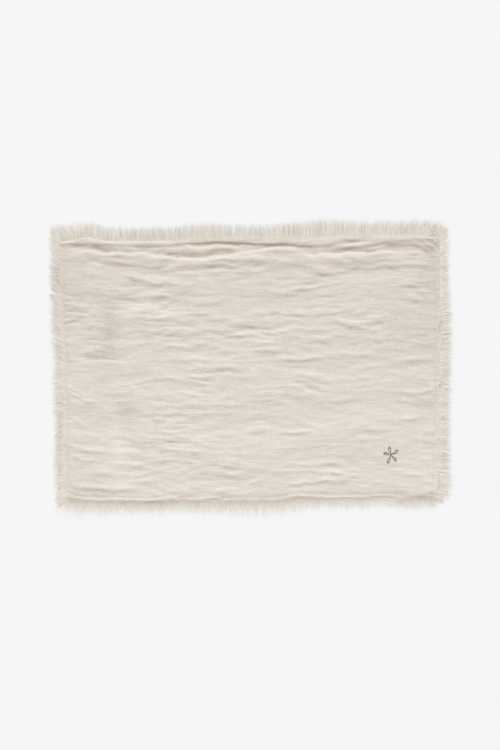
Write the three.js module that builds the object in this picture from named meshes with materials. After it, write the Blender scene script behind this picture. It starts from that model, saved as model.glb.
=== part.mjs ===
// A frayed linen placemat, lying on a table: one thin crinkled cloth with a fringe of its own
// yarns along each of its four edges. Millimetres, +X along the length, +Y away from the diner,
// +Z up, origin on the table under the middle of the mat.
import * as THREE from "three";

const { lerp, degToRad, seededRandom } = THREE.MathUtils;

// Driving dimensions.
const CLOTH_LENGTH = 434; // woven part along X, between the fringes
const CLOTH_DEPTH = 302; // woven part along Y, between the fringes
const CLOTH_THICKNESS = 1.4; // heavy washed gauze, as it lies
const FRINGE_THICKNESS = 1.1;
const FRINGE_HEADING = 2; // the yarns hold together this far out from the woven edge
const FRINGE_UNEVEN = 1.2; // how much longer or shorter a lock may be than its neighbours
const LOCK_PITCH = 7; // one lock of yarns
const LOCK_TIP = 0.42; // a lock's width at its tip, as a share of the pitch
const GAP = 0.3; // between the cloth and a fringe, and between two fringes
const CORNER_RADIUS = { left_top: 4, right_top: 6, left_bottom: 6, right_bottom: 11 };

// How finely the cloth is faceted, in bands from its -X and -Y edges. The folds run along X, so
// it has many rows and few columns.
const COLUMN_BANDS = [
  { width: 12, steps: 3 },
  { width: 410, steps: 15 },
  { width: 12, steps: 3 },
];
const ROW_BANDS = [
  { width: 12, steps: 4 },
  { width: 240, steps: 48 },
  { width: 50, steps: 18 },
];

// The four edges. at: place along the edge. off: how far the woven edge lies out from the nominal
// rectangle. yarn: the fringe's length there. lean: degrees that the yarns lean towards +X or +Y.
const EDGES = {
  top: [
    { at: -217, off: -5, yarn: 19, lean: -40 },
    { at: -200, off: -3.5, yarn: 15.5, lean: -25 },
    { at: -186, off: -0.8, yarn: 14.5, lean: -12 },
    { at: -165, off: -4.2, yarn: 14.5, lean: -10 },
    { at: -115, off: -5, yarn: 13.5, lean: -5 },
    { at: -52, off: -4.7, yarn: 17.5, lean: 0 },
    { at: 12, off: -4, yarn: 15, lean: 0 },
    { at: 62, off: -3.2, yarn: 18, lean: 0 },
    { at: 88, off: -0.7, yarn: 17.5, lean: 2 },
    { at: 140, off: -0.7, yarn: 15.5, lean: 5 },
    { at: 192, off: 0, yarn: 15, lean: 15 },
    { at: 217, off: -2, yarn: 14.5, lean: 32 },
  ],
  bottom: [
    { at: -217, off: 1, yarn: 9.5, lean: -48 },
    { at: -204, off: 2, yarn: 12, lean: -15 },
    { at: -176, off: 4, yarn: 10, lean: -3 },
    { at: -140, off: 5, yarn: 10, lean: 0 },
    { at: -84, off: 3, yarn: 10.5, lean: 0 },
    { at: -46, off: 3.5, yarn: 11.5, lean: 0 },
    { at: 0, off: 3, yarn: 13.5, lean: 0 },
    { at: 33, off: 2, yarn: 12.5, lean: 5 },
    { at: 79, off: 0.6, yarn: 8.5, lean: 0 },
    { at: 125, off: -0.5, yarn: 10, lean: 0 },
    { at: 152, off: -0.3, yarn: 7.5, lean: 0 },
    { at: 172, off: 1.5, yarn: 8.5, lean: 5 },
    { at: 200, off: -0.5, yarn: 8.5, lean: 15 },
    { at: 217, off: -3, yarn: 8, lean: 45 },
  ],
  left: [
    { at: -151, off: -4.4, yarn: 10.5, lean: -42 },
    { at: -132, off: -4.4, yarn: 9.5, lean: -25 },
    { at: -110, off: -4.4, yarn: 9.5, lean: -5 },
    { at: -93, off: -4.4, yarn: 9.5, lean: -22 },
    { at: -40, off: -4.4, yarn: 10, lean: -12 },
    { at: -10, off: -4.4, yarn: 11, lean: 5 },
    { at: 15, off: -4.2, yarn: 12, lean: 28 },
    { at: 52, off: -2, yarn: 12, lean: 18 },
    { at: 78, off: 0.2, yarn: 11, lean: 22 },
    { at: 112, off: 1.9, yarn: 10, lean: 25 },
    { at: 135, off: 1.9, yarn: 10.5, lean: 38 },
    { at: 151, off: 1.5, yarn: 19, lean: 50 },
  ],
  right: [
    { at: -151, off: -3, yarn: 8, lean: -45 },
    { at: -135, off: -2, yarn: 10.5, lean: -20 },
    { at: -110, off: -2, yarn: 11, lean: -10 },
    { at: -60, off: -1.5, yarn: 11, lean: 0 },
    { at: 0, off: -1, yarn: 11.5, lean: 0 },
    { at: 35, off: -1, yarn: 12, lean: 12 },
    { at: 80, off: -1, yarn: 10.5, lean: 4 },
    { at: 110, off: -1, yarn: 9.5, lean: 2 },
    { at: 126, off: -1, yarn: 11, lean: 35 },
    { at: 151, off: -1, yarn: 14, lean: 58 },
  ],
};

// The main folds, each a soft roll that stands off the table. from and to: the ends of its crest.
// bow: how far its middle lies towards +Y. reach: half its width. rise: its height.
const FOLDS = [
  // Puckers just inside the seam along the far edge.
  { from: [-212, 135], to: [-178, 133], bow: 0, reach: 5, rise: 1.4 },
  { from: [-130, 134], to: [-58, 136.5], bow: -1, reach: 5, rise: 1.6 },
  { from: [-68, 137], to: [-6, 136], bow: 1, reach: 5, rise: 1.8 },
  { from: [-4, 136], to: [72, 133], bow: 2, reach: 5.5, rise: 2 },
  { from: [86, 137], to: [140, 140], bow: 0, reach: 4.5, rise: 1.6 },
  // The long swell behind them.
  { from: [-182, 128], to: [-104, 124], bow: 1, reach: 7, rise: 2.6 },
  { from: [-118, 122.5], to: [-28, 124], bow: -1, reach: 7, rise: 2.8 },
  { from: [-40, 124.5], to: [66, 122.5], bow: 0, reach: 7.5, rise: 2.8 },
  { from: [56, 124], to: [138, 126], bow: 1, reach: 7.5, rise: 2.6 },
  { from: [126, 129], to: [206, 127], bow: 2, reach: 8, rise: 2.8 },
  // Creases over the middle, from the far side to the near one.
  { from: [106, 102], to: [168, 101], bow: 1, reach: 8.5, rise: 1.8 },
  { from: [-146, 104], to: [-78, 95], bow: -1, reach: 7, rise: 1.6 },
  { from: [-211, 90.5], to: [-158, 90], bow: 1, reach: 6.5, rise: 1.4 },
  { from: [-2, 87.5], to: [70, 89.5], bow: -1, reach: 6.5, rise: 1.5 },
  { from: [-94, 76], to: [-22, 75], bow: 1, reach: 6.5, rise: 1.5 },
  { from: [-150, 62], to: [-92, 64], bow: 1, reach: 9, rise: 1.8 },
  { from: [3, 65], to: [93, 64], bow: -1, reach: 6.5, rise: 1.4 },
  { from: [32, 30], to: [93, 33], bow: 1, reach: 6.5, rise: 1.4 },
  { from: [146, 10], to: [206, 11], bow: 1, reach: 7, rise: 1.6 },
  { from: [-74, 1], to: [-14, 0.5], bow: 1, reach: 6.5, rise: 1.6 },
  { from: [-208, -17], to: [-180, -35], bow: 1, reach: 6.5, rise: 1.5 },
  { from: [2, -29], to: [82, -28.5], bow: 1, reach: 6.5, rise: 1.4 },
  { from: [-160, -22], to: [-124, -60], bow: 0, reach: 11, rise: 1.8 },
  { from: [-128, -52], to: [-38, -53], bow: 1, reach: 6.5, rise: 1.6 },
  { from: [140, -56], to: [195, -55], bow: 1, reach: 6.5, rise: 1.4 },
  { from: [-207, -89], to: [-158, -94], bow: 0, reach: 7, rise: 1.5 },
  { from: [43, -132], to: [98, -125], bow: 0, reach: 6.5, rise: 1.5 },
  { from: [94, -123], to: [134, -122], bow: 0, reach: 6.5, rise: 1.4 },
  // The near edge, rolled up a little along its seam.
  { from: [-210, -146.5], to: [-98, -150], bow: -1, reach: 4.5, rise: 1.8 },
  { from: [-104, -149], to: [-30, -148], bow: 0, reach: 4.5, rise: 1.8 },
  { from: [-36, -149], to: [40, -147.5], bow: -1, reach: 4.5, rise: 1.6 },
  { from: [34, -146], to: [112, -146], bow: 0.5, reach: 4.5, rise: 1.6 },
  { from: [104, -146], to: [196, -143], bow: -0.5, reach: 4.5, rise: 1.5 },
];

// The places of the grid's lines across the cloth, as shares of its width.
function gridShares(bands) {
  const width = bands.reduce((sum, band) => sum + band.width, 0);
  const shares = [0];
  let start = 0;
  for (const band of bands) {
    for (let step = 1; step <= band.steps; step++)
      shares.push((start + (band.width * step) / band.steps) / width);
    start += band.width;
  }
  return shares;
}

const COLUMNS = gridShares(COLUMN_BANDS);
const ROWS = gridShares(ROW_BANDS);

// A smooth curve through an edge's rows, for all of its columns at once.
const edgeCurves = Object.fromEntries(
  Object.entries(EDGES).map(([name, rows]) => {
    const places = rows.map((row) => row.at);
    const values = rows.flatMap((row) => [row.off, row.yarn, row.lean]);
    return [name, new THREE.CubicInterpolant(places, values, 3)];
  })
);

function edgeAt(name, at) {
  const [off, yarn, lean] = edgeCurves[name].evaluate(at);
  return { off, yarn, lean };
}

// A point of the nominal rectangle, moved so that the square near each corner becomes an arc.
function roundCorner(x, y) {
  const corner = (x < 0 ? "left" : "right") + (y < 0 ? "_bottom" : "_top");
  const radius = CORNER_RADIUS[corner];
  const a = (Math.abs(x) - (CLOTH_LENGTH / 2 - radius)) / radius;
  const b = (Math.abs(y) - (CLOTH_DEPTH / 2 - radius)) / radius;
  if (a <= 0 || b <= 0) return [x, y];
  const inX = radius * a * (1 - Math.sqrt(1 - (b * b) / 2));
  const inY = radius * b * (1 - Math.sqrt(1 - (a * a) / 2));
  return [x - Math.sign(x) * inX, y - Math.sign(y) * inY];
}

// The place on the mat of a point (u, v) of the cloth, u and v from 0 to 1 along X and Y.
function planPoint(u, v) {
  const [x, y] = roundCorner((u - 0.5) * CLOTH_LENGTH, (v - 0.5) * CLOTH_DEPTH);
  const outX = lerp(-edgeAt("left", y).off, edgeAt("right", y).off, u);
  const outY = lerp(-edgeAt("bottom", x).off, edgeAt("top", x).off, v);
  return new THREE.Vector2(x + outX, y + outY);
}

// How high a fold lifts the cloth at a point.
function foldHeight(fold, point) {
  const start = new THREE.Vector2(...fold.from);
  const run = new THREE.Vector2(...fold.to).sub(start);
  const t = point.clone().sub(start).dot(run) / run.lengthSq();
  if (t <= 0 || t >= 1) return 0;
  const crestY = lerp(fold.from[1], fold.to[1], t) + fold.bow * 4 * t * (1 - t);
  const away = Math.abs(point.y - crestY) / fold.reach;
  if (away >= 1) return 0;
  const fade = Math.sqrt(Math.sin(Math.PI * t));
  return fold.rise * fade * Math.cos((Math.PI / 2) * away) ** 2;
}

// The cloth: a sheet of even thickness that rises over its folds and lies flat between them.
function clothGeometry() {
  const across = COLUMNS.length;
  const lastColumn = across - 1;
  const lastRow = ROWS.length - 1;
  const under = [];
  ROWS.forEach((v, row) =>
    COLUMNS.forEach((u, column) => {
      const point = planPoint(u, v);
      const onRim = row % lastRow === 0 || column % lastColumn === 0;
      const lift = onRim ? 0 : Math.max(...FOLDS.map((fold) => foldHeight(fold, point)));
      under.push(new THREE.Vector3(point.x, point.y, lift));
    })
  );
  const over = under.map((place) => place.clone().setZ(place.z + CLOTH_THICKNESS));

  const faces = [];
  const quad = (a, b, c, d) => faces.push(a, b, c, a, c, d);
  const bottom = (row, column) => row * across + column;
  const top = (row, column) => bottom(row, column) + under.length;
  const wall = ([rowA, columnA], [rowB, columnB]) =>
    quad(bottom(rowA, columnA), bottom(rowB, columnB), top(rowB, columnB), top(rowA, columnA));
  for (let row = 0; row < lastRow; row++)
    for (let column = 0; column < lastColumn; column++) {
      const ring = [
        [row, column],
        [row, column + 1],
        [row + 1, column + 1],
        [row + 1, column],
      ];
      quad(...ring.map((place) => top(...place)));
      quad(...ring.reverse().map((place) => bottom(...place)));
    }
  for (let column = 0; column < lastColumn; column++) {
    wall([0, column], [0, column + 1]);
    wall([lastRow, column + 1], [lastRow, column]);
  }
  for (let row = 0; row < lastRow; row++) {
    wall([row, lastColumn], [row + 1, lastColumn]);
    wall([row + 1, 0], [row, 0]);
  }
  const geometry = new THREE.BufferGeometry().setFromPoints([...under, ...over]);
  geometry.setIndex(faces);
  geometry.computeVertexNormals();
  return geometry;
}

// Each side: its woven edge, from the -X or -Y end, the directions along it and out from it, and
// the grid lines that meet it.
const SIDES = {
  top: { rim: (s) => planPoint(s, 1), along: [1, 0], out: [0, 1], shares: COLUMNS },
  bottom: { rim: (s) => planPoint(s, 0), along: [1, 0], out: [0, -1], shares: COLUMNS },
  left: { rim: (s) => planPoint(0, s), along: [0, 1], out: [-1, 0], shares: ROWS },
  right: { rim: (s) => planPoint(1, s), along: [0, 1], out: [1, 0], shares: ROWS },
};

// One fringe: a comb whose back follows the woven edge and whose teeth are uneven locks of yarn.
// Its end locks lean out to fill the corners.
function fringeGeometry(name, seed) {
  const { rim, along, out, shares } = SIDES[name];
  const length = along[0] ? CLOTH_LENGTH : CLOTH_DEPTH;
  const end = GAP / 2 / length;
  const place = (share) => lerp(end, 1 - end, share);
  const offRim = (s, distance, lean = 0) =>
    rim(s)
      .addScaledVector(new THREE.Vector2(...out), distance * Math.cos(degToRad(lean)))
      .addScaledVector(new THREE.Vector2(...along), distance * Math.sin(degToRad(lean)));
  const edgeOver = (share) => edgeAt(name, (share - 0.5) * length);

  const outline = shares.map((share) => offRim(place(share), GAP)).reverse();
  const locks = Math.round(length / LOCK_PITCH);
  const notch = (share) => offRim(place(share), GAP + FRINGE_HEADING, edgeOver(share).lean);
  outline.push(notch(0));
  seededRandom(seed);
  for (let lock = 0; lock < locks; lock++) {
    const middle = (lock + 0.5) / locks;
    const { yarn, lean } = edgeOver(middle);
    const reach = GAP + yarn + FRINGE_UNEVEN * (2 * seededRandom() - 1);
    for (const half of [-LOCK_TIP / 2, LOCK_TIP / 2])
      outline.push(offRim(place(middle + half / locks), reach, lean));
    outline.push(notch((lock + 1) / locks));
  }
  const shape = new THREE.Shape(outline);
  return new THREE.ExtrudeGeometry(shape, { depth: FRINGE_THICKNESS, bevelEnabled: false });
}

const linen = new THREE.MeshStandardMaterial({ color: 0xddd6cc, roughness: 0.95, metalness: 0 });
const yarn = new THREE.MeshStandardMaterial({ color: 0xe2dbcf, roughness: 0.95, metalness: 0 });

function named(name, geometry, material) {
  const mesh = new THREE.Mesh(geometry, material);
  mesh.name = name;
  return mesh;
}

const placemat = new THREE.Group();
placemat.add(named("cloth", clothGeometry(), linen));
Object.keys(SIDES).forEach((name, i) => {
  placemat.add(named(`fringe_${name}`, fringeGeometry(name, i + 1), yarn));
});

export default placemat;
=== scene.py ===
import math

import bpy
import numpy as np
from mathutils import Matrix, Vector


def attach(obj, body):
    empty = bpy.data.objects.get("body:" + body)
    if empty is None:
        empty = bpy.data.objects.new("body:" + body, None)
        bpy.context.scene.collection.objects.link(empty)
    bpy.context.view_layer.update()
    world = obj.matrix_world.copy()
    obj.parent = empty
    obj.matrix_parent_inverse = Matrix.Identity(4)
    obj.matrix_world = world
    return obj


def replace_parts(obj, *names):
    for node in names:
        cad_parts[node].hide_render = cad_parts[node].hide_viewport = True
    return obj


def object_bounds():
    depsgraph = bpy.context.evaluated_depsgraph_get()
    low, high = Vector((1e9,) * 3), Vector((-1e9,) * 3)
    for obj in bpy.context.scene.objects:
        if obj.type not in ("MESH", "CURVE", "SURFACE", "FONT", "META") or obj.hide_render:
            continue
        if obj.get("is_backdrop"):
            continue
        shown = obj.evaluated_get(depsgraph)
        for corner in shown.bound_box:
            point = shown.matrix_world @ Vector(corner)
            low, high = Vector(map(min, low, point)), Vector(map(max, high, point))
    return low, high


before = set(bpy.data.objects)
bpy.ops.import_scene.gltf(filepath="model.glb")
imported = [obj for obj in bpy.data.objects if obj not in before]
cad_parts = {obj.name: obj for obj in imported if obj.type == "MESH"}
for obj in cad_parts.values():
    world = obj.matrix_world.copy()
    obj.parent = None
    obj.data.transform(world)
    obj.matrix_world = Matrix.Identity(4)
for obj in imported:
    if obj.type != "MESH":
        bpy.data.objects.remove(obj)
cad_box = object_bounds()

# Sizes in millimetres, in the frame's axes: +X along the mat, +Y away from the diner, +Z up.
MM = 0.001
CLOTH_LENGTH, CLOTH_DEPTH = 434, 302  # the woven part, between the fringes
CORNER_RADIUS = {"left_top": 4, "right_top": 6, "left_bottom": 6, "right_bottom": 11}
SHEET_THICK, RIM_THICK = 0.9, 0.4
RIM_LEVEL, INNER_LEVEL = 0.5, 2.2  # top of the sheet at its rim and further in
FAR_LEVEL = 0.7  # how much higher it lies by the far seam
FAR_BAND = (105, 138)  # where it rises to that, along Y
RIM_WIDTH = {"top": 4, "bottom": 12, "left": 9, "right": 9}  # how far in it has risen
LOWEST_TOP, LOWEST_UNDERSIDE = 0.35, 0.02
FAR_SEAM_DEPTH, NEAR_SEAM_RISE, SIDE_SEAM_DEPTH = 1.7, 0.95, 0.4
LOOSE_WEAVE = 7  # how far in from a woven edge the weave has opened
# How high the far rim stands on its gathered fringe, along X.
HEADING = (
    (-217, 0.9), (-190, 1.1), (-150, 1.5), (-97, 1.4), (-62, 2.2), (-20, 2.4), (11, 2.0),
    (34, 2.3), (62, 1.9), (91, 1.7), (120, 1.9), (140, 2.3), (190, 2.5), (205, 2.0), (217, 1.2),
)

# The four edges: place along the edge, how far out the woven edge lies there, the fringe's
# length, and the degrees that its yarns lean towards +X or +Y.
EDGES = {
    "top": (
        (-221, -5, 16, -50), (-217, -5, 18, -36), (-200, -3.5, 17, -25), (-186, -0.8, 15.5, -12),
        (-165, -4.2, 14.5, -10), (-115, -5, 13.5, -5), (-52, -4.7, 17.5, 0), (12, -4, 15, 0),
        (62, -3.2, 18, 0), (88, -0.7, 17.5, 2), (140, -0.7, 16, 6), (170, -0.3, 17.5, 18),
        (190, 0, 19, 34), (205, -0.5, 19, 42), (217, -2, 15, 42), (221, -2, 13, 50),
    ),
    "bottom": (
        (-221, 1, 12, -54), (-217, 1, 12.5, -38), (-204, 2, 14.5, -15), (-176, 4, 12, -3),
        (-140, 5, 10.5, 0), (-84, 3, 10.5, 0), (-46, 3.5, 11.5, 0), (0, 3, 14.5, 0), (33, 2, 13.5, 5),
        (79, 0.6, 8.5, 0), (125, -0.5, 10, 0), (152, -0.3, 7.5, 0), (172, 1.5, 8.5, 5),
        (200, -0.5, 9.5, 15), (217, -3, 10.8, 38), (221, -3, 10.5, 54),
    ),
    "left": (
        (-155, -4.4, 9.5, -50), (-151, -4.4, 10, -32), (-132, -4.4, 10.5, -25),
        (-110, -4.4, 10.8, -5), (-93, -4.4, 10.8, -22), (-40, -4.4, 11, -12), (-10, -4.4, 12, 5),
        (15, -4.2, 12.5, 28),
        (52, -2, 12, 18), (78, 0.2, 11, 22), (112, 1.9, 10, 25), (135, 1.9, 10.5, 38),
        (151, 1.5, 12, 40), (155, 1.5, 12, 54),
    ),
    "right": (
        (-155, -3, 10.5, -54), (-151, -3, 11, -38), (-138, -2, 13.2, -22), (-115, -2, 12, -10),
        (-60, -1.5, 11, 0),
        (0, -1, 11.5, 0), (35, -1, 12, 12), (80, -1, 10.5, 4), (110, -1, 9.5, 2),
        (126, -1, 10, 22), (151, -1, 11, 40), (155, -1, 11, 54),
    ),
}

# The stitched lines inside each edge, which stop the fraying: place along the line, where it
# runs across the mat, and how hard it pulls there.
SEAMS = {
    "top": (
        (-217, 142, 0.15), (-200, 141, 0.3), (-188, 140.8, 0.45), (-149, 140, 0.65),
        (-126, 139, 0.7), (-97, 139, 0.45), (-75, 142.1, 0.6), (-52, 142.3, 1.15),
        (-35, 142.8, 1.4), (-12, 142.1, 1.4), (11, 140.6, 1.05), (34, 141.2, 1.3),
        (62, 139.2, 0.8), (79, 139.0, 0.5), (91, 140.6, 0.4), (102, 144, 0.5), (120, 145.4, 0.6),
        (136, 145, 0.15), (160, 144.4, 0.05), (180, 144.4, 0.05), (217, 147, 0.05),
    ),
    "bottom": (
        (-217, -144, 0.2), (-206, -145, 0.6), (-197, -147, 0.9), (-166, -148.4, 1.1),
        (-126, -149, 1.2), (-97, -148.2, 1.1), (-63, -148.5, 1.0), (-37, -147, 1.0),
        (-30, -148.5, 0.7), (-18, -148.8, 0.55), (0, -149.3, 0.5), (34, -147.6, 0.5),
        (45, -144.8, 1.0), (62, -144.2, 1.1), (96, -145.9, 0.95), (130, -144.8, 1.0),
        (157, -144.6, 1.0), (170, -145.4, 0.7), (191, -143.1, 0.3), (199, -138, 0.2),
        (205, -131, 0.1),
    ),
    "left": (
        (-151, -208, 1), (-82, -208, 1), (-36, -209.2, 1), (9, -209.8, 1), (26, -210.3, 1),
        (55, -212, 1), (78, -213.2, 1), (129, -213.8, 1), (151, -213.8, 1),
    ),
    "right": (
        (-151, 206.9, 1), (-128, 207.5, 1), (-82, 209.2, 1), (-36, 210.9, 1), (-14, 212, 1),
        (20, 212.6, 1), (43, 212, 1), (78, 210.9, 1), (117, 209.8, 1), (151, 209, 1),
    ),
}

# The creases: points of the crest, its height (a trough's is negative), and how far its flanks
# spread towards +Y and towards -Y.
CREASES = (
    # Along the far seam.
    (
        (
            (-190, 138.2), (-167, 133.4), (-115, 131.6), (-80, 127.8), (-50, 127.5), (-33, 131),
            (-15, 133.8), (2, 137),
        ), -1.7, 3.4, 3.2,
    ),
    (((-214, 132.5), (-188, 133)), -1.1, 5, 8),
    (((-38, 133), (-20, 134), (0, 136.5)), -0.6, 3.5, 4),
    (((58, 132.3), (85, 132), (108, 134), (142, 135.7)), -2.1, 4.2, 3.0),
    (((132, 134.2), (160, 134.2), (180, 134.4), (195, 133.4), (209, 129)), -2.7, 5.2, 3.2),
    (((-125, 135), (-97, 135)), 0.3, 2, 3),
    (((6, 134.8), (40, 136.6), (64, 134.6)), 0.4, 2.2, 5),
    (((104, 140.6), (134, 140.6)), 0.4, 1.8, 2.2),
    (((-170, 128.5), (-140, 128.8), (-112, 128)), 0.7, 3, 2.6),
    (
        (
            (-112, 123.5), (-80, 122.5), (-46, 122.5), (-12, 124.3), (20, 122.5), (56, 121.5),
            (84, 123.5),
        ), 0.8, 3.2, 6,
    ),
    (((-215, 131), (-192, 127)), 0.4, 3, 2.2),
    (((112, 126.5), (135, 126.5)), 0.5, 2, 4),
    (((132, 131), (166, 131.5)), 0.5, 3, 6),
    # Behind the middle.
    (((-167, 121.4), (-146, 118.6), (-126, 116.8), (-115, 114.6), (-96, 116.8)), 0.8, 4, 2.4),
    (((-192, 109.5), (-168, 105.5)), 0.8, 5, 3.2),
    (((-142, 105.5), (-126, 101.5), (-115, 98.8), (-98, 97), (-77, 94.6)), 1.3, 5, 3.2),
    (((-192, 89.3), (-178, 87)), 0.6, 4, 2),
    (((-128, 82), (-90, 82)), 0.8, 4, 3),
    (((-152, 75.8), (-90, 75.8)), -0.5, 3, 8),
    (((-103, 75), (-69, 75)), 0.6, 2, 2.2),
    (((-210, 69.5), (-185, 66)), 0.4, 5, 3),
    (((-144, 60), (-122, 60.5), (-96, 59)), 1.3, 9, 18),
    (((-109, 55.6), (-92, 55.6)), 0.4, 4, 2),
    (((-97, 110.2), (-69, 110.2)), 0.5, 3, 7),
    (((-37, 112.3), (-16, 110.6), (6, 110)), 0.7, 4, 2.4),
    (((8, 84.9), (47, 83.8)), 0.5, 4, 2.4),
    (((48, 88.1), (64, 88.1)), 0.4, 3, 2),
    (((22, 85.2), (56, 90.4), (79, 94.4)), 0.35, 2, 3),
    (((-66, 75.7), (-44, 73.4), (-29, 75.1)), 0.55, 3.5, 2.2),
    (((-69, 62.2), (-43, 62.2)), 0.7, 4, 2.5),
    (((6, 63.8), (39, 62.7), (79, 61), (91, 64.4)), 0.8, 4.5, 2.4),
    (((-63, 55), (-29, 55)), 0.45, 4, 2),
    (((114, 124.2), (138, 121.2), (155, 118.9), (170, 117)), 0.9, 5, 3.6),
    (((108, 111), (160, 111)), -0.8, 3, 9),
    (((168, 94), (195, 94)), 0.6, 4, 2.4),
    (((168, 79.3), (187, 79.3), (193, 77.6)), 0.6, 4, 1.7),
    (((119, 56.8), (161, 59.6)), 0.5, 5, 2.2),
    # Across the middle.
    (((-83, 53), (-60, 53)), 0.7, 3, 2.4),
    (((-101, 38.7), (-80, 40.5), (-63, 41)), 0.55, 3.5, 2.3),
    (((-120, 41.9), (-109, 41.9)), 0.5, 3, 3),
    (((-174, 45.8), (-165, 45.8)), 0.6, 3, 3.5),
    (((-189, 18.8), (-168, 18.8)), 0.9, 4, 4),
    (((-194, 10.3), (-143, 10.3)), -0.5, 2.5, 3),
    (((-208, -2.3), (-183, -2.8)), 0.45, 1.8, 2.5),
    (((-101, -10.7), (-41, -11.8)), 0.5, 4.5, 3),
    (((-29, 50.3), (-12, 51.5), (-6, 50), (28, 49.2)), 0.5, 4, 2.7),
    (((-40, 44.7), (-6, 44), (28, 43.5)), -0.3, 2.2, 2.4),
    (((-21, 37.5), (9, 37.5)), 0.45, 3.5, 3.2),
    (((34, 43.3), (85, 43.3)), 0.65, 3.5, 2.4),
    (((-69, 27.9), (-52, 27.9)), 0.45, 3, 2.4),
    (((56, 29), (96, 32.4)), 0.6, 4, 2.3),
    (((5, 19.4), (37, 19.4)), 0.7, 4, 2.4),
    (((-69, -1.4), (-54, -0.3), (-35, 0.9), (-12, -0.9)), 0.8, 4.5, 2.8),
    (((-69, -6.3), (-12, -5)), -0.45, 2.4, 2.4),
    (((-18, -10.6), (13, -10.6)), 0.65, 4, 2.6),
    (((31, 10), (62, 11), (91, 12.3)), 0.9, 3.5, 2.8),
    (((75, 17.2), (136, 16.8)), 0.6, 2.2, 3.5),
    (((96, 54.2), (113, 49.7), (121, 47.4), (136, 43.8), (145, 43.4)), 0.65, 4, 2.5),
    (((182, 38.8), (199, 38.8)), 0.5, 3.5, 2.6),
    (((165, 32.3), (176, 32.3)), 0.5, 3, 2),
    (((176, 27.7), (210, 27.7)), 0.55, 4, 2.8),
    (((125, 14.1), (153, 14.1)), 0.6, 4, 2.3),
    (((153, 9), (193, 9), (210, 11.3)), 1.0, 4, 3),
    (((125, -10.5), (132, -10.5)), 0.5, 3, 2.6),
    (((193, -12.3), (210, -12.3)), 0.45, 4, 2),
    # In front of the middle.
    (((-210, -21.4), (-197, -27.1), (-189, -30.5)), 0.5, 3, 2),
    (((-206, -27.8), (-194, -34), (-185, -37.5), (-177, -39)), 0.5, 1.9, 1.9),
    (((-206, -38.5), (-194, -43.1), (-174, -43.1), (-165, -48.8)), 0.45, 3.5, 2.2),
    (((-203, -56.8), (-194, -62.5), (-188, -70.5)), 0.45, 2.5, 2),
    (((-206, -72.6), (-192, -76), (-177, -79.4), (-169, -82.9)), 0.5, 3, 2.2),
    (((-156, -29), (-128, -31)), 1.1, 10, 22),
    (((-151, -37), (-131, -42)), 0.5, 3, 3.2),
    (((-154, -19), (-132, -22.3)), 0.45, 4, 2.4),
    (((-109, -59.8), (-98, -59.8)), 0.5, 3, 1.8),
    (((-86, -60.3), (-69, -60.3)), 0.45, 3, 2),
    (((-103, -72.5), (-69, -73)), 0.38, 2.2, 2),
    (((-120, -82.4), (-98, -82.4)), 0.3, 3, 2.4),
    (((-129, -51.5), (-69, -51.7), (-21, -51.5)), 0.4, 1.9, 2.4),
    (((-9, -21.9), (22, -21.9)), 0.45, 3.5, 2.2),
    (((2, -29.9), (13, -29.5), (20, -28.2), (39, -29.9)), 0.5, 3.5, 3.6),
    (((43, -30.8), (70, -30.8)), 0.3, 3, 2.6),
    (((34, -11), (80, -11)), 0.5, 7, 5),
    (((-69, -42.2), (-48, -42.2)), 0.7, 4, 3.2),
    (((0, -72.5), (22, -72.5)), 0.45, 4, 2.2),
    (((34, -72.2), (68, -72.2)), 0.5, 2.2, 2.4),
    (((168, -26.9), (180, -30.3), (193, -28), (210, -24.6)), 0.65, 3, 2.3),
    (((166, -60.1), (182, -57.8), (199, -56.1), (211, -55.5)), 0.6, 3.5, 2.2),
    (((131, -71.2), (159, -71.2)), 0.45, 3, 1.7),
    (((199, -74.6), (210, -74.6)), 0.5, 3, 2.6),
    (((119, -82.9), (152, -81.7)), 0.5, 3, 2.2),
    # Near the diner.
    (((-206, -87.9), (-192, -92.4), (-177, -93.6), (-160, -95)), 1.0, 3.5, 3),
    (((-168, -95), (-143, -97), (-115, -95.8), (-76, -97)), 0.36, 3.5, 2.4),
    (((-204, -99.4), (-192, -104), (-177, -105.1)), 0.55, 2, 2.2),
    (((-183, -118.6), (-172, -120.9), (-154, -119.8)), 0.6, 4, 3),
    (((-134, -111.6), (-125, -111.6)), 0.45, 2.5, 2.6),
    (
        (
            (-204, -132.2), (-194, -135.6), (-183, -137.4), (-166, -136.8), (-151, -137.9),
            (-132, -138.5),
        ), 1.0, 4, 3.2,
    ),
    (((-160, -108.8), (-137, -108.8)), 0.45, 2.4, 4),
    (((-97, -95), (-40, -95.3)), 0.42, 2.2, 4),
    (((-35, -110), (-21, -112.9), (-6, -112.3)), 0.45, 3, 2.6),
    (((-48, -122.5), (-12, -121.3)), 0.35, 3, 3),
    (((0, -128.2), (17, -128.2)), 0.45, 3.5, 2.6),
    (((-41, -139.4), (-17, -139.4)), 0.8, 4, 2.8),
    (((39, -109.9), (79, -109.2), (96, -108.2), (102, -111)), 0.5, 4, 2.6),
    (((28, -117.2), (79, -117.8), (96, -117.8), (108, -120)), 0.7, 2.2, 2.4),
    (((45, -133.3), (60, -130.6), (79, -129.5), (91, -127.2), (96, -128.4)), 0.8, 3, 2.3),
    (((-12, -109.7), (17, -114.3)), 0.45, 2.2, 4),
    (((96, -123.9), (123, -122.8)), 0.65, 3, 2.2),
    (((170, -122.5), (199, -122.5)), 0.5, 2.2, 2),
    (((172, -149.5), (213, -148.5)), 0.45, 6, 4),
)

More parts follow.
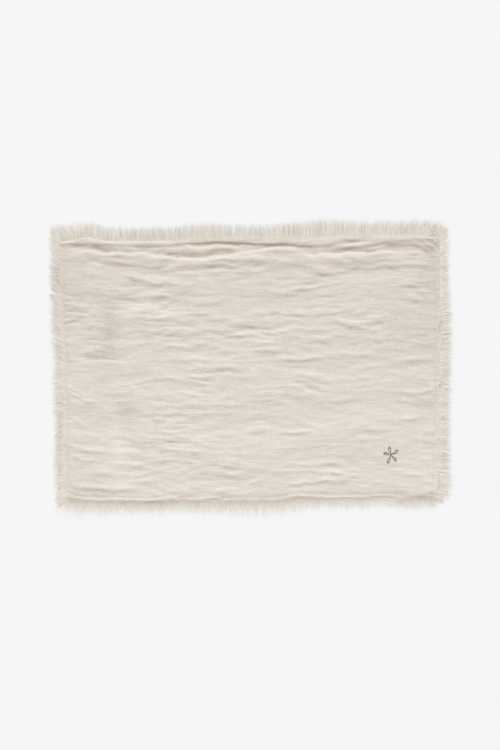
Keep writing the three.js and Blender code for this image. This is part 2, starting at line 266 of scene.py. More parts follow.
# The puckers at the corners, drawn to the seams' ends.
PUCKERS = (
    (((186, 148.5), (200, 143), (213, 132)), 0.9, 1.8, 2.2),
    (((196, 150.5), (208, 146), (216, 138)), 0.8, 1.5, 1.8),
    (((182, 143), (196, 138), (209, 126)), 0.7, 2.0, 2.4),
    (((-214, 140), (-206, 146), (-198, 149)), 0.4, 1.6, 1.6),
    (((-213, -138), (-206, -143), (-196, -146)), -0.35, 2, 2),
)

# Patches of painted light and shade, for broad shading on the gauze: a place, how far the patch
# spreads along X and Y, and how much paler it is painted there, or darker where that is negative.
LIGHT_AND_SHADE_PATCHES = (
    (-160, 48, 10, 30, -0.6), (-131, 98, 13, 8, -0.45), (205, 129, 16, 10, -0.4),
    (-170, 22, 16, 22, -0.4), (-118, 69, 34, 8, 0.5),
    (-140, -52, 11, 26, -0.35), (-152, -98, 14, 30, 0.48), (-205, 90, 16, 48, -0.25),
    (185, 55, 42, 36, -0.32), (206, 105, 16, 46, -0.25), (105, -63, 44, 8, -0.15),
    (45, -38, 48, 6, 0.2), (-90, -55, 60, 8, 0.12), (-183, -130, 34, 11, -0.4),
    (-58, 118, 30, 6, 0.3), (42, 99, 28, 7, -0.2), (200, 3, 22, 16, -0.25),
    (203, -55, 18, 10, -0.2),
)

# What the relief is crinkled with, from soft swells to the gauze's own fine pleats: the height of
# one step of noise, its length along X and Y, and its seed.
SWELLS = ((0.30, 55, 17, 5),)
CRINKLES = ((0.18, 17, 4.4, 7), (0.13, 9, 2.7, 8), (0.09, 5, 1.8, 9))
WARP = ((1.2, 34, 30, 3), (0.5, 11, 9, 4))

# The fringe's yarns, by layer: how many stand on a millimetre of edge, the strands in one and how
# far they spread from it, a strand's width, how far in from the rim they come out of the cloth,
# how high they arch, and their tone from 0 (olive, painted shade) to 1 (bleached). reach is where
# their ends fall between the shortest and the longest of the side's strands, and thins how fast
# they give out on the way, so that few reach the end.
LAYERS = (
    {"per_mm": 1.4, "strands": 1, "spread": 0, "thick": 1.1, "thins": 1.2, "reach": (0.0, 0.8),
     "inset": (0.8, 2.0), "arch": (0.0, 0.0), "tone": (0.0, 0.45), "segments": 4},
    {"per_mm": 0.62, "strands": 10, "spread": 0.34, "thick": 0.36, "thins": 1.3,
     "reach": (0.0, 0.95), "inset": (0.3, 3.6), "arch": (0.05, 0.35), "tone": (0.2, 1.0),
     "segments": 6},
    {"per_mm": 3.4, "strands": 1, "spread": 0, "thick": 0.15, "thins": 0.7, "reach": (0.3, 1.2),
     "inset": (0.5, 2.5), "arch": (0.1, 0.4), "tone": (0.3, 1.0), "segments": 5},
    {"per_mm": 0.4, "strands": 3, "spread": 0.1, "thick": 0.34, "thins": 0.6, "reach": (0.2, 1.05),
     "inset": (0.3, 2.0), "arch": (0.35, 0.7), "tone": (1.0, 1.3), "segments": 6},
)
LOCK_PITCH = 2.8
CORNER_PAINTED_LIGHT = 0.5  # how much paler the yarns that fan out round a corner are painted: painted light against the shade where they crowd
STRAND_SIDES = 3
YARN_FLAT = 0.25  # a strand's height for its width
YARN_TAPER = 0.62  # how much thinner a strand is at its tip
YARN_ROLL = 0.42  # how far the strands at a yarn's sides are turned outwards, so that it is round
CORNER_MORE = 5  # how much longer than the edge the row of yarns is, crowding round each corner

# shares: the least and the most of the fringe's length that its strands reach. tones: its
# darkest and its lightest, set per side as painted light, palest on the sides in the most shade.
# root: the tone that the strands have where they leave the cloth, painted light and shade over
# the roots, darkest on the near side for the shadow under the seam's crest. loose: how much wider
# than LAYERS says its yarns have opened.
SIDES = {
    "top": {"axis": 0, "out": (0, 1), "seed": 11, "shares": (0.75, 1.26), "tones": (0.02, 0.82),
            "root": 0.66, "loose": 1.0},
    "bottom": {"axis": 0, "out": (0, -1), "seed": 12, "shares": (0.05, 1.4), "tones": (0.84, 0.95),
               "root": 0.58, "loose": 3.0},
    "left": {"axis": 1, "out": (-1, 0), "seed": 13, "shares": (0.58, 1.4), "tones": (0.2, 1.16),
             "root": 0.86, "loose": 1.0},
    "right": {"axis": 1, "out": (1, 0), "seed": 14, "shares": (0.72, 1.42), "tones": (0.3, 1.18),
              "root": 0.84, "loose": 1.1},
}


# ---------------------------------------------------------------------------------------------
# The mat's plan
# ---------------------------------------------------------------------------------------------
def between(low, high, share):
    return low + (high - low) * share


def smooth(low, high, value):
    t = np.clip((value - low) / (high - low), 0, 1)
    return t * t * (3 - 2 * t)


def through(rows, column, places):
    """A smooth curve through one column of a table whose first column is the place."""
    table = np.array([(row[0], row[column]) for row in rows], float)
    xs, ys = table.T
    if len(xs) == 2:
        return np.interp(places, xs, ys)
    slopes = np.gradient(ys, xs)
    i = np.clip(np.searchsorted(xs, places) - 1, 0, len(xs) - 2)
    step = xs[i + 1] - xs[i]
    t = np.clip((places - xs[i]) / step, 0, 1)
    ends = (2 * t**3 - 3 * t**2 + 1) * ys[i] + (3 * t**2 - 2 * t**3) * ys[i + 1]
    turns = (t**3 - 2 * t**2 + t) * slopes[i] + (t**3 - t**2) * slopes[i + 1]
    return ends + step * turns


def off_nominal(side, places):
    return through(EDGES[side], 1, places)


def round_corner(x, y):
    """Points of the nominal rectangle, moved so that the square near each corner is an arc."""
    for corner, radius in CORNER_RADIUS.items():
        a = (abs(x) - (CLOTH_LENGTH / 2 - radius)) / radius
        b = (abs(y) - (CLOTH_DEPTH / 2 - radius)) / radius
        here = ((x < 0) == corner.startswith("left")) & ((y < 0) == corner.endswith("bottom"))
        here = here & (a > 0) & (b > 0)
        a, b = np.where(here, a, 0), np.where(here, b, 0)
        x, y = (
            x - np.sign(x) * radius * a * (1 - np.sqrt(1 - b * b / 2)),
            y - np.sign(y) * radius * b * (1 - np.sqrt(1 - a * a / 2)),
        )
    return x, y


def plan(u, v):
    """Where a point of the cloth lies, u and v running from 0 to 1 along X and Y."""
    x, y = round_corner((u - 0.5) * CLOTH_LENGTH, (v - 0.5) * CLOTH_DEPTH)
    out_x = between(-off_nominal("left", y), off_nominal("right", y), u)
    out_y = between(-off_nominal("bottom", x), off_nominal("top", x), v)
    return x + out_x, y + out_y


def inside_rims(x, y):
    """How far a point of the mat lies in from each woven edge."""
    return {
        "left": x + CLOTH_LENGTH / 2 + off_nominal("left", y),
        "right": CLOTH_LENGTH / 2 + off_nominal("right", y) - x,
        "bottom": y + CLOTH_DEPTH / 2 + off_nominal("bottom", x),
        "top": CLOTH_DEPTH / 2 + off_nominal("top", x) - y,
    }


def risen(x, y):
    """0 at the rim, 1 where the cloth has risen to its full height."""
    rims = inside_rims(x, y)
    return np.minimum.reduce([smooth(0, RIM_WIDTH[side], inset) for side, inset in rims.items()])


# ---------------------------------------------------------------------------------------------
# The cloth's relief
# ---------------------------------------------------------------------------------------------
NOISE_CELLS = 256
NOISE_SHIFT = (97.3, 61.7)
BLEND_SUM, BLEND_SPREAD = 36, 0.32  # of the four by four cells that are blended


def noise(x, y, size_x, size_y, seed):
    """Smooth seeded noise about 0 with a spread near 1, and features of that size."""
    lattice = np.random.default_rng(seed).normal(size=(NOISE_CELLS, NOISE_CELLS))
    u, v = x / size_x + NOISE_SHIFT[0], y / size_y + NOISE_SHIFT[1]
    column, row = np.floor(u).astype(int), np.floor(v).astype(int)

    def shares(f):
        return (1 - f) ** 3, 3 * f**3 - 6 * f**2 + 4, 3 * (f + f**2 - f**3) + 1, f**3

    total = 0
    for i, across in enumerate(shares(u - column)):
        for j, along in enumerate(shares(v - row)):
            cell = lattice[(column + i) % NOISE_CELLS, (row + j) % NOISE_CELLS]
            total = total + across * along * cell
    return total / BLEND_SUM / BLEND_SPREAD


def octaves(rows, x, y):
    return sum(rise * noise(x, y, size_x, size_y, seed) for rise, size_x, size_y, seed in rows)


def ridge(away, back, front):
    return np.exp(-((away / np.where(away > 0, back, front)) ** 2))


def crease(crest, rise, back, front, x, y):
    """The height of one crease: it fades at its ends, wanders a little and is never even."""
    start, end = crest[0][0], crest[-1][0]
    reach = 0.12 * (end - start) + 2
    ease = min(0.5 * (end - start), 22)
    near = (x > start - reach) & (x < end + reach)
    xs, line = x[near], np.full(near.sum(), float(crest[0][1]))
    fade = smooth(start - reach, start - reach + ease, xs)
    fade = fade * (1 - smooth(end + reach - ease, end + reach, xs))
    fade = fade * (1 + 0.14 * noise(xs, line, 8, 5, 12))
    place = through(crest, 1, np.clip(xs, start, end)) + 0.4 * noise(xs, line, 8, 5, 11)
    height = np.zeros_like(x)
    height[near] = rise * fade * ridge(y[near] - place, back, front)
    return height


def pull(side, places):
    return np.interp(places, *np.array([(row[0], row[2]) for row in SEAMS[side]], float).T)


def seam_line(side, places):
    """Where a stitched line runs: through its table, with a slight wander."""
    seed = {"top": 21, "bottom": 22, "left": 23, "right": 24}[side]
    return through(SEAMS[side], 1, places) + 0.22 * noise(places, 0 * places, 5, 1, seed)


def surface(x, y):
    """The height of the cloth's upper face above the table."""
    warped = y + octaves(WARP, x, y)
    patch = 0.75 + 0.3 * np.tanh(1.2 * noise(x, y, 40, 26, 6))
    lively = between(0.8, 1, smooth(-110, -20, y))  # it lies smoother near the diner
    relief = lively * (octaves(SWELLS, x, warped) + patch * octaves(CRINKLES, x, warped))
    for crest, rise, back, front in CREASES + PUCKERS:
        relief = relief + crease(crest, rise, back, front, x, y)
    from_seam = y - seam_line("top", x)
    relief = relief - FAR_SEAM_DEPTH * pull("top", x) * ridge(from_seam + 1.8, 2.2, 3.4)
    from_seam = y - seam_line("bottom", x)
    relief = relief + NEAR_SEAM_RISE * pull("bottom", x) * ridge(from_seam + 1.2, 1.2, 3.8)
    for side in ("left", "right"):
        relief = relief - SIDE_SEAM_DEPTH * ridge(x - seam_line(side, y), 1.0, 1.0)
    rims = inside_rims(x, y)
    inset = np.minimum.reduce(list(rims.values()))
    far_rim = np.interp(x, *np.array(HEADING).T)
    rim = between(far_rim, RIM_LEVEL, smooth(4, 12, rims["top"]))
    level = INNER_LEVEL + FAR_LEVEL * smooth(*FAR_BAND, y)
    top = between(rim, level, risen(x, y)) + relief * between(0.1, 1, smooth(0, 3, inset))
    soft = 0.2  # a trough that would reach the table flattens out over it
    return LOWEST_TOP + soft * np.logaddexp(0, (top - LOWEST_TOP) / soft)


def light_and_shade(x, y):
    """How much paler each point is painted than the rest, as painted light, or darker where it is
    below 0, as painted shade.
    """
    return sum(
        paler * np.exp(-(((x - at_x) / size_x) ** 2) - ((y - at_y) / size_y) ** 2)
        for at_x, at_y, size_x, size_y, paler in LIGHT_AND_SHADE_PATCHES
    )


def painted_seam_shade(x, y):
    """1 where the far seam is drawn in hard, so that its two sides close over it: there shade is
    painted into the seam.
    """
    drawn = smooth(0.45, 1.5, pull("top", x))
    return drawn * ridge(y - seam_line("top", x) + 0.2, 1.1, 1.3)


def hollows(top):
    """How deep each point of the grid lies between folds along X, from 0 to 1: where shade is
    painted into the folds.
    """
    near = np.hanning(17)[1:-1]
    near /= near.sum()
    padded = np.pad(top, ((near.size // 2, near.size // 2), (0, 0)), "edge")
    around = np.apply_along_axis(np.convolve, 0, padded, near, "valid")
    return smooth(0.08, 0.8, around - top)


# ---------------------------------------------------------------------------------------------
# Meshes
# ---------------------------------------------------------------------------------------------
def piece(name, points, faces, finish, marks=()):
    """A mesh from points in millimetres. marks are named numbers, one for each point."""
    mesh = bpy.data.meshes.new(name)
    mesh.from_pydata(np.asarray(points) * MM, (), faces)
    mesh.validate()
    mesh.shade_smooth()
    mesh.set_sharp_from_angle(angle=math.radians(80))
    for mark, values in dict(marks).items():
        mesh.attributes.new(mark, "FLOAT", "POINT").data.foreach_set(
            "value", np.asarray(values, np.float32)
        )
    mesh.materials.append(finish)
    made = bpy.data.objects.new(name, mesh)
    bpy.context.scene.collection.objects.link(made)
    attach(made, "root")
    return made


def steps(bands):
    """Shares along a side, from bands of (width, steps)."""
    ends = np.cumsum([0] + [width for width, _ in bands])
    lines = [np.linspace(a, b, n, endpoint=False) for a, b, (_, n) in zip(ends, ends[1:], bands)]
    return np.concatenate([*lines, ends[-1:]]) / ends[-1]


COLUMN_BANDS = ((14, 18), (406, 160), (14, 18))
ROW_BANDS = ((302, 384),)
COARSE_COLUMNS, COARSE_ROWS = 2, 3  # the underside takes every 2nd column and every 3rd row


def linen_sheet(finish):
    """The cloth as a closed sheet: its upper face with all the relief, a coarser underside under
    it, and a wall round the rim between the two."""
    u, v = steps(COLUMN_BANDS), steps(ROW_BANDS)
    x, y = plan(*np.meshgrid(u, v))
    top = surface(x, y)
    upper = np.stack([x, y, top], -1)
    lower = upper[::COARSE_ROWS, ::COARSE_COLUMNS].copy()
    lower[..., 2] -= between(RIM_THICK, SHEET_THICK, risen(lower[..., 0], lower[..., 1]))
    lower[..., 2] = np.maximum(lower[..., 2], LOWEST_UNDERSIDE)
    rows, columns = upper.shape[:2]
    numbers = np.arange(rows * columns).reshape(rows, columns)
    low_rows, low_columns = lower.shape[:2]
    low = numbers.size + np.arange(low_rows * low_columns).reshape(low_rows, low_columns)

    def quads(n):
        corners = n[:-1, :-1], n[:-1, 1:], n[1:, 1:], n[1:, :-1]
        return np.stack(corners, -1).reshape(-1, 4)

    def wall(over, under, step):
        for i, (a, b) in enumerate(zip(under, under[1:])):
            rim = over[i * step : (i + 1) * step + 1]
            yield [int(a), int(b), *(int(n) for n in rim[::-1])]

    faces = quads(numbers).tolist() + quads(low)[:, ::-1].tolist()
    faces += wall(numbers[0], low[0], COARSE_COLUMNS)
    faces += wall(numbers[-1, ::-1], low[-1, ::-1], COARSE_COLUMNS)
    faces += wall(numbers[::-1, 0], low[::-1, 0], COARSE_ROWS)
    faces += wall(numbers[:, -1], low[:, -1], COARSE_ROWS)
    points = np.concatenate([upper.reshape(-1, 3), lower.reshape(-1, 3)])
    rims = inside_rims(x, y)
    # Marks for the painted shade in the folds and in the far seam, for the patches of painted light
    # and shade, and for where the weave has opened.
    marks = {
        "fold_shade": hollows(top),
        "painted_seam_shade": painted_seam_shade(x, y),
        "light_and_shade": light_and_shade(x, y),
        "loose_ends": 1 - smooth(0, LOOSE_WEAVE, np.minimum(rims["top"], rims["bottom"])),
        "loose_sides": 1 - smooth(0, LOOSE_WEAVE, np.minimum(rims["left"], rims["right"])),
    }
    marks = {mark: np.concatenate([at.ravel(), np.zeros(low.size)]) for mark, at in marks.items()}
    return piece("linen_cloth", points, faces, finish, marks)


def strands(paths, radii, sides=STRAND_SIDES, flat=1.0, roll=0.0):
    """Thin tubes in one mesh. paths is (strands, rings, 3) and radii (strands, rings). flat is
    how high a tube stands for its width, and roll how far each one is turned about itself."""
    count, rings = radii.shape
    along = np.gradient(paths, axis=1)
    along /= np.linalg.norm(along, axis=-1, keepdims=True)
    across = np.cross(along, (0, 0, 1.0))
    across /= np.linalg.norm(across, axis=-1, keepdims=True) + 1e-9
    over = np.cross(across, along)
    cosine, sine = np.cos(roll), np.sin(roll)
    across, over = across * cosine - over * sine, over * cosine + across * sine
    turn = 2 * np.pi * np.arange(sides) / sides + np.pi / 2
    wide, high = np.cos(turn)[:, None], flat * np.sin(turn)[:, None]
    ring = across[..., None, :] * wide + over[..., None, :] * high
    points = paths[..., None, :] + radii[..., None, None] * ring
    n = np.arange(count * rings * sides).reshape(count, rings, sides)
    turned = np.roll(n, -1, axis=2)
    skin = np.stack([n[:, :-1], n[:, 1:], turned[:, 1:], turned[:, :-1]], -1).reshape(-1, 4)
    faces = skin.tolist() + n[:, 0].tolist() + n[:, -1, ::-1].tolist()
    return points.reshape(-1, 3), faces


# ---------------------------------------------------------------------------------------------
# The fringe
# ---------------------------------------------------------------------------------------------
def fringe(side, finish):
    """One side's fringe: every strand of every layer of yarns, in one mesh."""
    axis, out, seed, shares, tones_here, root_tone, loose = SIDES[side].values()
    length = (CLOTH_LENGTH, CLOTH_DEPTH)[axis]
    row = length + 2 * CORNER_MORE
    rng = np.random.default_rng(seed)
    locks = round(row / LOCK_PITCH)
    lock_edges = np.linspace(0, row, locks + 1) - CORNER_MORE
    lock_edges[1:-1] += rng.uniform(-0.35, 0.35, locks - 1) * LOCK_PITCH
    lock_lean = rng.normal(0, 3, locks)
    lock_grows = rng.uniform(0.94, 1.04, locks)
    lock_draws = rng.uniform(0, 0.14, locks) / loose  # how far its yarns draw together
    lock_tone = rng.uniform(-0.15, 0.15, locks)
    points, faces, tones, tips = [], [], [], []
    made = 0
    for layer in LAYERS:
        yarns = round(row * layer["per_mm"])
        count = yarns * layer["strands"]
        yarn = np.repeat(np.arange(yarns), layer["strands"])
        yarn_at = (np.arange(yarns) + 0.5 + rng.uniform(-0.3, 0.3, yarns)) * row / yarns
        yarn_lean, yarn_tone = rng.normal(0, 3, yarns), rng.uniform(0, 1, yarns)
        yarn_grows = rng.uniform(0.95, 1.03, yarns)
        off = rng.normal(0, layer["spread"] * loose, count)  # how far to the side of its yarn
        at = yarn_at[yarn] + off - CORNER_MORE
        lock = np.clip(np.searchsorted(lock_edges, at) - 1, 0, locks - 1)
        middle = (lock_edges[lock] + lock_edges[lock + 1]) / 2

        place = at - length / 2
        reach = through(EDGES[side], 2, place) * lock_grows[lock] * yarn_grows[yarn]
        far = np.exp(-layer["thins"] * rng.uniform(0, 1, count))
        reach = reach * between(*shares, between(*layer["reach"], far))
        lean = through(EDGES[side], 3, place) + lock_lean[lock] + yarn_lean[yarn]
        lean = np.radians(lean + rng.normal(0, 4.5, count))
        along, across = np.clip(at / length, 0.001, 0.999), np.full(count, float(sum(out) > 0))
        rim_x, rim_y = plan(*((along, across) if axis == 0 else (across, along)))
        rings = layer["segments"] + 1
        t = np.linspace(0, 1, rings)[None, :]
        inset = rng.uniform(*layer["inset"], count)[:, None]
        run = reach[:, None] * t - inset * (1 - t)
        outward = run * np.cos(lean)[:, None]
        sideways = reach[:, None] * t * np.sin(lean)[:, None]
        drawn = lock_draws[lock] * (middle - at)
        sideways = sideways + drawn[:, None] * smooth(0, 0.75, t)
        sway, turn = rng.normal(0, 0.45, (2, count, 1)), rng.uniform(0, 6.28, (count, 1))
        sideways = sideways + sway[0] * t * np.sin(turn + 4.5 * t) + sway[1] * t**2 * 1.6
        x = rim_x[:, None] + outward * out[0] + sideways * (axis == 0)
        y = rim_y[:, None] + outward * out[1] + sideways * (axis == 1)
        root = surface(x[:, 0], y[:, 0])[:, None] - 0.2  # it comes out of the cloth
        thick = layer["thick"] * rng.uniform(0.75, 1.15, (count, 1))
        round_yarn = np.clip(off / (layer["spread"] * loose + 1e-6), -1.6, 1.6)[:, None]
        arch = rng.uniform(*layer["arch"], (yarns, 1))[yarn] * (1 - 0.3 * round_yarn**2)
        arch = arch + rng.uniform(0, 0.08, (count, 1))
        tip = rng.uniform(0.1, 0.22, (count, 1))
        z = root * (1 - t) ** 1.5 + tip * t + arch * 4 * t * (1 - t) ** 1.5
        radius = thick / 2 * (1 - YARN_TAPER * t**1.5) * np.ones_like(x)
        z = np.maximum(z, YARN_FLAT * radius + 0.02)
        roll = (out[1] - out[0]) * YARN_ROLL * round_yarn[..., None]
        p, f = strands(np.stack([x, y, z], -1), radius, flat=YARN_FLAT, roll=roll)
        points.append(p)
        faces += [[n + made for n in face] for face in f]
        made += len(p)
        share = 0.8 * yarn_tone[yarn] + 0.2 * rng.uniform(0, 1, count) + lock_tone[lock]
        # Painted light on the yarns that crowd round the corners.
        share = share + CORNER_PAINTED_LIGHT * smooth(0.76, 0.97, np.abs(place) * 2 / length)
        # Each side's range of tone paints light on the sides that lie in more shade.
        tone = between(*tones_here, between(*layer["tone"], np.clip(share, 0, 1.2)))
        # Painted light and shade over the roots, by each side's root tone.
        tone = between(root_tone, tone[:, None], smooth(0, 0.5, t))
        tones.append(np.repeat(tone.ravel(), STRAND_SIDES))
        tips.append(np.repeat(np.broadcast_to(t, (count, rings)).ravel(), STRAND_SIDES))
    marks = {"tone": np.concatenate(tones), "tip": np.concatenate(tips)}
    return piece(f"yarn_{side}", np.concatenate(points), faces, finish, marks)


# ---------------------------------------------------------------------------------------------
# Stitches
# ---------------------------------------------------------------------------------------------
STITCH_PITCH, STITCH_LENGTH, STITCH_THICK = 3.2, 2.2, 0.36


def seam_stitches(finish):
    """Short stitches along the four stitched lines, each drawn into the cloth at its ends."""
    rng = np.random.default_rng(41)
    t = np.linspace(-1, 1, 6)[None, :]
    paths = []
    for side, rows in SEAMS.items():
        start, end = rows[0][0] + 8, rows[-1][0] - 8
        count = round((end - start) / STITCH_PITCH)
        at = start + (np.arange(count) + rng.uniform(0.35, 0.65, count)) * (end - start) / count
        along = at[:, None] + t * STITCH_LENGTH / 2
        across = seam_line(side, along)
        x, y = (across, along) if side in ("left", "right") else (along, across)
        z = surface(x, y) + STITCH_THICK * (0.25 - 0.5 * t**4)
        paths.append(np.stack([x, y, z], -1))
    paths = np.concatenate(paths)
    radii = np.full(paths.shape[:2], STITCH_THICK / 2) * (1 - 0.35 * t**4)
    points, faces = strands(paths, radii, sides=5)
    return piece("seam_stitches", points, faces, finish)


FLOWER_AT = (160, -99)
PETAL_LENGTH, PETAL_WIDTH = 7.6, 2.6
PETALS = ((3, 1.0), (-6, 0.9), (4, 1.04), (-3, 0.94), (5, 0.98))  # degrees askew, and size
HEART = 1.3  # from the middle to where a petal starts
KNOT = 0.75
FLOSS = 0.8  # across the embroidery thread


def flower(finish):
    """A lazy-daisy flower: a loop for each petal, tied down at its tip, round a knot."""
    paths = []
    t = np.linspace(0, 1, 29)
    for petal, (askew, size) in enumerate(PETALS):
        turn = math.radians(100 + 360 * petal / len(PETALS) + askew)
        out = HEART + size * PETAL_LENGTH * np.sin(np.pi * t) ** 0.8
        side = size * PETAL_WIDTH / 2 * np.sin(2 * np.pi * t) * (0.75 + 0.35 * np.sin(np.pi * t))
        paths.append((turn, out, side))
        tie = np.linspace(-1.0, 1.1, t.size) + HEART + size * PETAL_LENGTH
        paths.append((turn, tie, 0.05 * np.sin(7 * t)))
    wound = np.linspace(0, 5 * np.pi, t.size)
    paths.append((0, *(KNOT * round_it(wound) * (1 - 0.35 * t) for round_it in (np.cos, np.sin))))
    made = []
    for turn, out, side in paths:
        x = FLOWER_AT[0] + out * math.cos(turn) - side * math.sin(turn)
        y = FLOWER_AT[1] + out * math.sin(turn) + side * math.cos(turn)
        rise = 0.22 + (0.5 * t if turn == 0 else 0.1 * np.sin(np.pi * t))
        made.append(np.stack([x, y, surface(x, y) + rise], -1))
    made = np.array(made)
    radii = np.full(made.shape[:2], FLOSS / 2) * (0.75 + 0.25 * np.sin(np.pi * t))
    points, faces = strands(made, radii, sides=8)
    return piece("flower", points, faces, finish)


# ---------------------------------------------------------------------------------------------
# Finishes
# ---------------------------------------------------------------------------------------------
class Wire:
    """A node's socket, on which Python's own operators add Math nodes."""

    def __init__(self, nodes, socket):
        self.nodes, self.socket = nodes, socket

    def __add__(self, other):
        return self.nodes.maths("ADD", self, other)

    __radd__ = __add__

    def __sub__(self, other):
        return self.nodes.maths("SUBTRACT", self, other)

    def __rsub__(self, other):
        return self.nodes.maths("SUBTRACT", other, self)

    def __mul__(self, other):
        return self.nodes.maths("MULTIPLY", self, other)

    __rmul__ = __mul__


class Nodes:
    """The nodes of one material, lamp or world."""

    def __init__(self, owner):
        owner.use_nodes = True
        self.tree = owner.node_tree
        self.tree.nodes.clear()

    def add(self, kind, settings=(), values=(), output=0):
        """One node: its settings, then its sockets' values or links. Gives one output."""
        node = self.tree.nodes.new("ShaderNode" + kind)
        for name, value in dict(settings).items():
            setattr(node, name, value)
        for key, value in dict(values).items():
            socket = self.open_socket(node.inputs, key)
            if isinstance(value, Wire):
                self.tree.links.new(value.socket, socket)
            else:
                socket.default_value = value
        return None if output is None else Wire(self, self.open_socket(node.outputs, output))

    @staticmethod
    def open_socket(sockets, key):
        shown = [s for s in sockets if s.enabled]
        return shown[key] if isinstance(key, int) else next(s for s in shown if s.name == key)

    def maths(self, operation, *values):
        return self.add("Math", {"operation": operation}, dict(enumerate(values)))

    def vector(self, operation, *values):
        return self.add("VectorMath", {"operation": operation}, dict(enumerate(values)))

    def mix(self, share, first, second):
        return self.add("Mix", {"data_type": "RGBA"}, {"Factor": share, "A": first, "B": second})

    def place(self):
        """The point of the mat, in millimetres."""
        return self.vector("MULTIPLY", self.add("TexCoord", output="Object"), (1000, 1000, 1000))

    def grain(self, place, size_x, size_y, size_z=8, detail=1):
        """Noise about 0.5, with features of that size in millimetres."""
        scaled = self.vector("MULTIPLY", place, (1 / size_x, 1 / size_y, 1 / size_z))
        return self.add("TexNoise", values={"Vector": scaled, "Scale": 1.0, "Detail": detail})

    def finish(self, kind, shader):
        self.add(kind, values={"Surface": shader}, output=None)


def dye(red, green, blue):
    """A colour as it is written on screen, from 0 to 255, for a shader."""
    tone = np.array([red, green, blue]) / 255
    linear = np.where(tone <= 0.04045, tone / 12.92, ((tone + 0.055) / 1.055) ** 2.4)
    return (*linear.tolist(), 1)


def cloth_shader(nodes, colour, bump_height, rough=0.92, sheen=0.1):
    normal = nodes.add("Bump", values={"Strength": 1.0, "Distance": MM, "Height": bump_height})
    return nodes.add("BsdfPrincipled", values={
        "Base Color": colour, "Roughness": rough, "Normal": normal,
        "Specular IOR Level": 0.15, "Sheen Weight": sheen, "Sheen Roughness": 0.6,
    })


WARP_PITCH, WEFT_PITCH = 0.72, 0.66  # the gauze's yarns


def washed_linen():
    """Washed linen gauze: pale warm yarns with slubs along X, in an open plain weave."""
    material = bpy.data.materials.new("washed_linen")
    nodes = Nodes(material)
    place = nodes.place()
    slubs = nodes.grain(place, 7, 0.8)
    long_slubs = nodes.grain(place, 22, 1.3)
    patches = nodes.grain(place, 16, 8)
    weft = nodes.grain(place, 2.4, 0.55)
    x, y = (nodes.add("SeparateXYZ", values={"Vector": place}, output=axis) for axis in "XY")
    warp_wave = nodes.maths("COSINE", x * (math.pi / WARP_PITCH) + slubs * 2)
    weft_wave = nodes.maths("COSINE", y * (math.pi / WEFT_PITCH) + long_slubs * 3)
    weave = warp_wave * weft_wave
    specks = nodes.grain(place, 1.5, 1.2)
    fold_shade, seam_shade, painted_patch, loose_ends, loose_sides = (
        nodes.add("Attribute", {"attribute_name": mark}, output="Fac")
        for mark in ("fold_shade", "painted_seam_shade", "light_and_shade", "loose_ends", "loose_sides")
    )
    tone = 0.5 + (slubs - 0.5) * 0.45 + (long_slubs - 0.5) * 0.35 + (weft - 0.5) * 0.62
    # Painted light and shade: the patches above, and a darkening towards the far edge.
    tone = tone + weave * 0.06 + (specks - 0.5) * 0.65 + painted_patch * 0.5 - y * 0.0004
    tone = tone + (nodes.grain(place, 1.3, 7) - 0.5) * loose_ends * 1.2
    tone = tone + (nodes.grain(place, 7, 1.3) - 0.5) * loose_sides * 1.2
    colour = nodes.mix(tone, dye(203, 195.2, 186.4), dye(242.4, 234.7, 226.8))
    colour = nodes.mix((patches - 0.5) * 2.0, colour, dye(227, 213.5, 203))
    colour = nodes.mix((0.5 - patches) * 1.6, colour, dye(215, 209, 192))
    # Painted shade: warm brown in the hollows between folds, and more of it towards the far edge.
    colour = nodes.mix(fold_shade * 0.5 + y * 0.0003, colour, dye(174, 144, 114))
    # Painted shade in the far seam, where it is drawn in hard.
    colour = nodes.mix(seam_shade * 0.15, colour, dye(150, 118, 88))
    height = (slubs - 0.5) * 0.18 + (weft - 0.5) * 0.12 + (long_slubs - 0.5) * 0.14 + weave * 0.02
    nodes.finish("OutputMaterial", cloth_shader(nodes, colour, height))
    return material


def frayed_yarn():
    """The fringe's loose yarns: off-white strands over olive-beige ones, the olive-beige a painted
    shade.
    """
    material = bpy.data.materials.new("frayed_yarn")
    nodes = Nodes(material)
    place = nodes.place()
    tone = nodes.add("Attribute", {"attribute_name": "tone"}, output="Fac")
    tip = nodes.add("Attribute", {"attribute_name": "tip"}, output="Fac")
    mottle = nodes.grain(place, 2.5, 2.5, 2.5, 2)
    # From olive-beige, a painted shade, to off-white, by the yarns' tone.
    colour = nodes.mix(tone, dye(174, 165.5, 143), dye(248, 240.5, 231))
    colour = nodes.mix((mottle - 0.35) * 0.5, colour, dye(232, 218.5, 208))
    # Near the root the yarns take the cloth's own colour, a little paler to offset the shade there:
    # partly real, partly painted light.
    colour = nodes.mix(0.9 - tip * 4, colour, dye(226, 217, 206))
    # Whiter towards the tips: painted light for the light that the thin ends let through.
    colour = nodes.mix(tip * tip * 0.6, colour, dye(248, 249, 247))
    fibres = nodes.grain(place, 0.35, 0.35, 0.35)
    nodes.finish("OutputMaterial", cloth_shader(nodes, colour, fibres * 0.04))
    return material


def sewing_thread(name, dark, light):
    material = bpy.data.materials.new(name)
    nodes = Nodes(material)
    place = nodes.place()
    twist = nodes.grain(place, 0.35, 0.35, 0.35, 2)
    patch = nodes.grain(place, 2.5, 2.5, 2.5)
    colour = nodes.mix(0.5 + (twist - 0.5) * 1.1 + (patch - 0.5) * 0.6, dye(*dark), dye(*light))
    nodes.finish("OutputMaterial", cloth_shader(nodes, colour, twist * 0.12, 0.7))
    return material


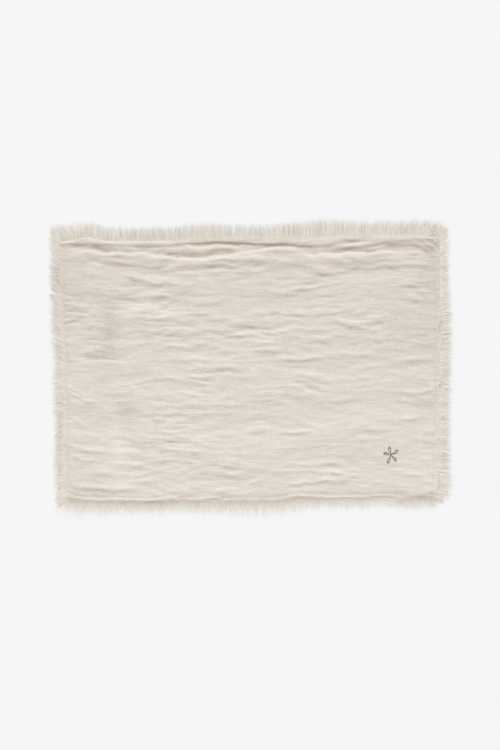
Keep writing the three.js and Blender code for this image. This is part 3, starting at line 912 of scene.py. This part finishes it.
# ---------------------------------------------------------------------------------------------
# The table, the light and the camera
# ---------------------------------------------------------------------------------------------
PALE = 0.9216  # the backdrop's level
TABLE_GLOW = 0.8  # how much of the table shows at that level, the rest showing the mat's shadow
KEY_HEIGHT, KEY_TURN, KEY_SOFTNESS = 42, 0, 25  # degrees
KEY_SHARE = 0.55  # of the light on a flat face, the rest being the sky's
KEY_TINT, FILL_TINT = (0.91, 1.02, 1.135), (1.11, 0.976, 0.835, 1)  # white where both fall


def seen(nodes):
    """1 on the rays that show the backdrop: from the camera, mirrored or through glass."""
    rays = [nodes.add("LightPath", output=kind)
            for kind in ("Is Camera Ray", "Is Glossy Ray", "Is Transmission Ray")]
    return nodes.maths("MAXIMUM", nodes.maths("MAXIMUM", rays[0], rays[1]), rays[2])


def pale_table():
    bpy.ops.mesh.primitive_plane_add(size=12, location=(0, 0, -0.0003))
    table = bpy.context.object
    table.name = "table"
    material = bpy.data.materials.new("pale_table")
    nodes = Nodes(material)
    matt = nodes.add("BsdfDiffuse", values={"Color": (PALE, PALE, PALE, 1)})
    glow = nodes.add("Emission", values={"Color": (1, 1, 1, 1), "Strength": PALE})
    shown = nodes.add("MixShader", values={0: seen(nodes) * TABLE_GLOW, 1: matt, 2: glow})
    nodes.finish("OutputMaterial", shown)
    table.data.materials.append(material)
    table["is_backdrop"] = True


def studio():
    scene = bpy.context.scene
    world = bpy.data.worlds.new("studio")
    scene.world = world
    nodes = Nodes(world)
    fill = nodes.add("Background", values={"Color": FILL_TINT, "Strength": 1 - KEY_SHARE})
    pale = nodes.add("Background", values={"Color": (1, 1, 1, 1), "Strength": PALE})
    nodes.finish("OutputWorld", nodes.add("MixShader", values={0: seen(nodes), 1: fill, 2: pale}))
    key = bpy.data.lights.new("key", "SUN")
    key.energy = KEY_SHARE * math.pi / math.sin(math.radians(KEY_HEIGHT))
    key.color = KEY_TINT
    key.angle = math.radians(KEY_SOFTNESS)
    lamp = bpy.data.objects.new("key", key)
    lamp.rotation_euler = (math.radians(KEY_HEIGHT - 90), 0, math.radians(KEY_TURN))
    scene.collection.objects.link(lamp)
    scene.view_settings.view_transform = "Standard"


CAMERA_AT = (-0.0006, -0.008, 2.019)  # metres, looking straight down


def camera():
    lens = bpy.data.cameras.new("camera")
    lens.lens, lens.sensor_width = 85, 36
    lens.clip_end = 50
    view = bpy.data.objects.new("camera", lens)
    view.location = CAMERA_AT
    bpy.context.scene.collection.objects.link(view)
    bpy.context.scene.camera = view


# ---------------------------------------------------------------------------------------------
# The placemat
# ---------------------------------------------------------------------------------------------
camera()
studio()
pale_table()
linen, yarn = washed_linen(), frayed_yarn()
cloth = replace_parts(linen_sheet(linen), "cloth")
fringes = [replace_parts(fringe(side, yarn), f"fringe_{side}") for side in SIDES]
stitches = seam_stitches(sewing_thread("seam_thread", (196, 187, 172), (222, 214, 202)))
daisy = flower(sewing_thread("olive_floss", (112, 100, 70), (150, 138, 104)))

boxes = {"cad": cad_box, "visual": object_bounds()}
{name: [list(map(float, corner)) for corner in box] for name, box in boxes.items()}
